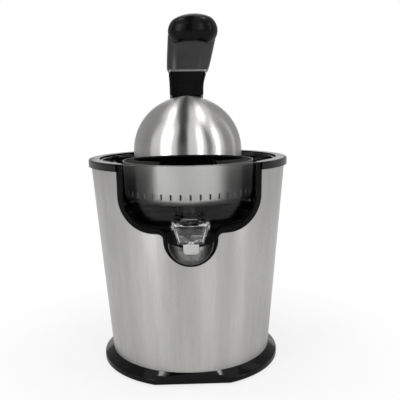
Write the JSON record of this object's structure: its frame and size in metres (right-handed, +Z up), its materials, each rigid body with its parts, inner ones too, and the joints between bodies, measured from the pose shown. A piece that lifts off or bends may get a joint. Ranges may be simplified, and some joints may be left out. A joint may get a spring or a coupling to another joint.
{
  "type": "electric citrus press",
  "caption": "Electric citrus press: tapered steel body, clear bowl with flip spout, and a hinged arm that presses fruit with a steel dome on a driven cone.",
  "frame": {"origin": "centre of the overall footprint, on the plane of the feet", "axes": "+Z up along the spindle, -Y to the front where the spout is, +X to the right seen from the front"},
  "size_m": [0.19, 0.2093, 0.3331],
  "materials": {
    "black_gloss": "polished black moulding",
    "black_matte": "fine satin black moulding",
    "rubber_black": "soft black rubber",
    "soft_grip": "soft grey overmould",
    "brushed_steel": "upright brushed stainless steel",
    "zinc_steel": "plain plated steel",
    "chrome_trim": "bright plating",
    "bronze": "plain bronze",
    "copper_wire": "enamelled copper windings",
    "carbon": "dark pressed carbon",
    "white_plastic": "natural white plastic",
    "clear_plastic": "clear moulding"
  },
  "bodies": {
    "body": {"base_skirt": "black_gloss", "top_ring": "black_gloss", "front_frame": "black_gloss", "hinge_bracket": "black_gloss", "bottom_plate": "black_matte", "inner_tub": "black_matte", "cord_gland": "black_matte", "microswitch": "black_matte", "rubber_feet": "rubber_black", "spindle_seal": "rubber_black", "steel_shell": "brushed_steel", "strainer": "brushed_steel", "drip_scoop": "brushed_steel", "gear_plate": "zinc_steel", "gear_plate_posts": "zinc_steel", "gear_plate_screws": "zinc_steel", "bottom_screws": "zinc_steel", "ring_screws": "zinc_steel", "motor_core": "zinc_steel", "motor_brackets": "zinc_steel", "motor_rods": "zinc_steel", "motor_spacers": "zinc_steel", "switch_bracket": "zinc_steel", "hinge_pin": "zinc_steel", "hinge_screws": "zinc_steel", "spout_pins": "zinc_steel", "plate_bush": "bronze", "spindle_bush": "bronze", "motor_bearings": "bronze", "switch_terminals": "bronze", "motor_coils": "copper_wire", "carbon_brushes": "carbon", "juice_bowl": "clear_plastic"},
    "gear": {"drive_gear": "white_plastic", "gear_clip": "zinc_steel", "return_spring": "zinc_steel"},
    "spindle": {"spindle": "zinc_steel", "reaming_cone": "black_matte"},
    "rotor": {"motor_rotor": "zinc_steel", "armature_winding": "copper_wire", "drive_pinion": "bronze"},
    "plunger": {"switch_plunger": "white_plastic"},
    "spout": {"flip_spout": "clear_plastic", "spout_tip": "white_plastic"},
    "arm": {"press_arm": "black_gloss", "arm_cover": "black_gloss", "arm_screws": "zinc_steel", "press_dome": "brushed_steel", "dome_liner": "black_matte", "dome_screw": "zinc_steel", "trim_ring": "chrome_trim", "grip_sleeve": "soft_grip", "grip_cap": "black_gloss"}
  },
  "joints": [
    {"name": "arm_lift", "type": "hinge", "parent": "body", "child": "arm", "pos_m": [0, 0.0955, 0.2095], "axis": [-1, 0, 0], "range_deg": [0, 95]},
    {"name": "spout_flip", "type": "hinge", "parent": "body", "child": "spout", "pos_m": [0, -0.088, 0.147], "axis": [-1, 0, 0], "range_deg": [0, 60]},
    {"name": "gear_spin", "type": "hinge", "parent": "body", "child": "gear", "pos_m": [0, 0, 0.1], "axis": [0, 0, 1], "continuous": true},
    {"name": "spindle_press", "type": "slide", "parent": "gear", "child": "spindle", "axis": [0, 0, 1], "range_m": [-0.003, 0], "stiffness_N_per_m": 1500, "springref_m": 0.004, "deforming": ["return_spring"]},
    {"name": "rotor_spin", "type": "hinge", "parent": "body", "child": "rotor", "pos_m": [0, 0.03875, 0.08], "axis": [0, 0, 1], "continuous": true},
    {"name": "plunger_press", "type": "slide", "parent": "body", "child": "plunger", "axis": [0, 0, 1], "range_m": [-0.003, 0], "stiffness_N_per_m": 100, "springref_m": 0.002}
  ],
  "couplings": [
    {"joint": "rotor_spin", "follows": "gear_spin", "ratio": -3.4286},
    {"joint": "plunger_press", "follows": "spindle_press", "ratio": 1}
  ]
}
